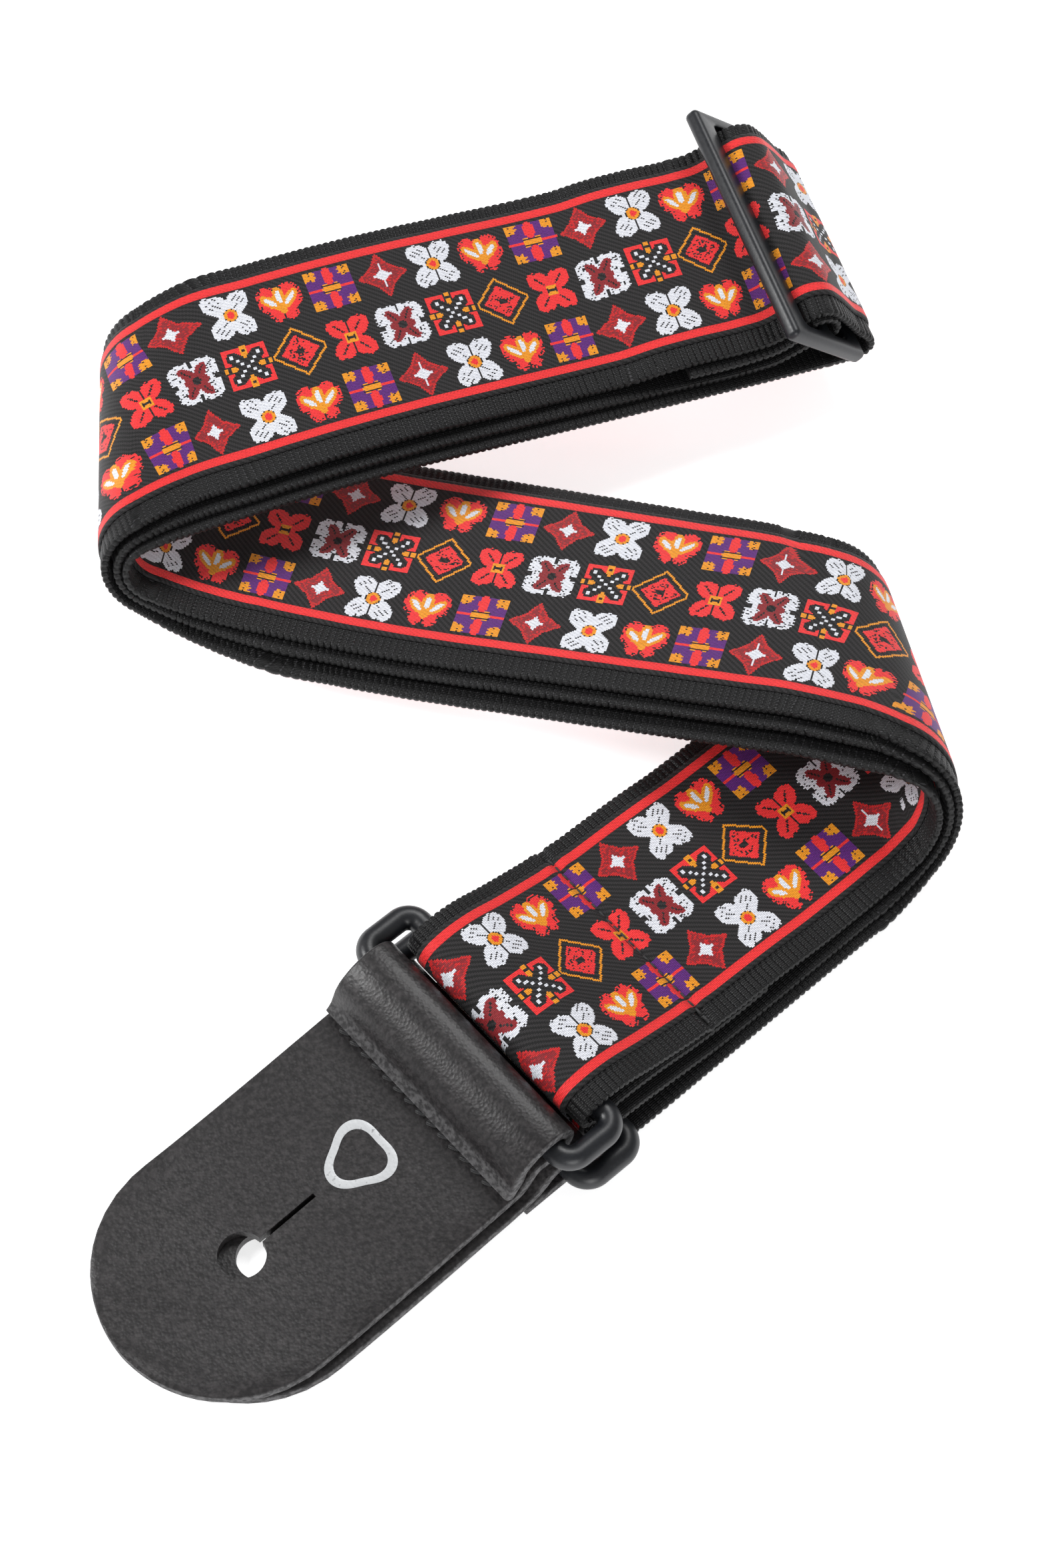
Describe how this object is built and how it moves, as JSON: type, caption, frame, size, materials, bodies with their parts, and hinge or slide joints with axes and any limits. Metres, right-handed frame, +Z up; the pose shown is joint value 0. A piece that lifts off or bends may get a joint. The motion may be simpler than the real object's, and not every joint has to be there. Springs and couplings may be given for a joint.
{
  "type": "guitar strap",
  "caption": "Folded guitar strap of patterned ribbon on black webbing, with leather button ends on plastic loops and a sliding length buckle.",
  "frame": {"origin": "centre of the bounding box in plan, at its bottom, on the surface the strap lies on", "axes": "+Z up off that surface, +Y the long way of the folded strap from the leather ends to the top run, +X the short way"},
  "size_m": [0.1723, 0.276, 0.0352],
  "materials": {
    "webbing": "ribbed black polypropylene webbing, matte with slight sheen on the ribs",
    "ribbon": "woven jacquard ribbon, black ground with red, white, orange and purple figures",
    "thread": "black polyester sewing thread",
    "leather": "satin charcoal leather, fine pebble grain, raw cut edges",
    "plastic": "black moulded plastic, satin",
    "foil": "thin silver hot-stamped foil"
  },
  "bodies": {
    "strap_bottom": {"webbing_a_bottom": "webbing", "ribbon_a_bottom": "ribbon", "webbing_b_bottom": "webbing", "ribbon_b_bottom": "ribbon", "strap_seam": "thread", "webbing_a_fold_right": "webbing", "webbing_b2_fold_right": "webbing", "webbing_b1_fold_right": "webbing", "ribbon_a_fold_right": "ribbon", "ribbon_b2_fold_right": "ribbon", "ribbon_b1_fold_right": "ribbon"},
    "strap_middle": {"webbing_a_middle": "webbing", "webbing_b2_middle": "webbing", "webbing_b1_middle": "webbing", "ribbon_a_middle": "ribbon", "ribbon_b2_middle": "ribbon", "ribbon_b1_middle": "ribbon", "webbing_a_fold_left": "webbing", "webbing_b2_fold_left": "webbing", "webbing_b1_fold_left": "webbing", "ribbon_a_fold_left": "ribbon", "ribbon_b2_fold_left": "ribbon", "ribbon_b1_fold_left": "ribbon"},
    "strap_top": {"webbing_a_top": "webbing", "webbing_b2_top": "webbing", "webbing_b1_top": "webbing", "ribbon_a_top": "ribbon", "ribbon_b2_top": "ribbon", "ribbon_b1_top": "ribbon", "webbing_turn": "webbing", "ribbon_turn": "ribbon", "webbing_b2_end": "webbing", "ribbon_b2_end": "ribbon"},
    "slider": {"slider": "plastic"},
    "loop_a": {"loop_a": "plastic"},
    "leather_a": {"leather_a": "leather", "leather_a_stitches": "thread", "foil_mark": "foil"},
    "loop_b": {"loop_b": "plastic"},
    "leather_b": {"leather_b": "leather", "leather_b_stitches": "thread"}
  },
  "joints": [
    {"name": "middle_fold", "type": "hinge", "parent": "strap_bottom", "child": "strap_middle", "pos_m": [0.0683, 0.00551, 0.01225], "axis": [-0.2275, 0.9738, 0], "range_deg": [0, 90], "deforming": ["webbing_a_fold_right", "webbing_b2_fold_right", "webbing_b1_fold_right", "ribbon_a_fold_right", "ribbon_b2_fold_right", "ribbon_b1_fold_right"]},
    {"name": "top_fold", "type": "hinge", "parent": "strap_middle", "child": "strap_top", "pos_m": [-0.07515, 0.06817, 0.0193], "axis": [0.0436, -0.999, 0], "range_deg": [0, 90], "deforming": ["webbing_a_fold_left", "webbing_b2_fold_left", "webbing_b1_fold_left", "ribbon_a_fold_left", "ribbon_b2_fold_left", "ribbon_b1_fold_left"]},
    {"name": "slider_slide", "type": "slide", "parent": "strap_top", "child": "slider", "axis": [-0.9321, -0.343, 0.1162], "range_m": [0, 0.01], "deforming": ["webbing_turn", "ribbon_turn", "webbing_b2_end", "ribbon_b2_end"]},
    {"name": "loop_a_hinge", "type": "hinge", "parent": "strap_bottom", "child": "loop_a", "pos_m": [-0.00192, -0.0662, 0.01525], "axis": [-0.6626, 0.749, 0], "range_deg": [0, 60]},
    {"name": "leather_a_hinge", "type": "hinge", "parent": "loop_a", "child": "leather_a", "pos_m": [-0.01106, -0.07429, 0.01575], "axis": [-0.6626, 0.749, 0], "range_deg": [0, 90]},
    {"name": "loop_b_hinge", "type": "hinge", "parent": "strap_bottom", "child": "loop_b", "pos_m": [0.00025, -0.06428, 0.00515], "axis": [-0.6626, 0.749, 0], "range_deg": [-60, 0]},
    {"name": "leather_b_hinge", "type": "hinge", "parent": "loop_b", "child": "leather_b", "pos_m": [-0.00888, -0.07236, 0.00525], "axis": [-0.6626, 0.749, 0], "range_deg": [-90, 0]}
  ]
}
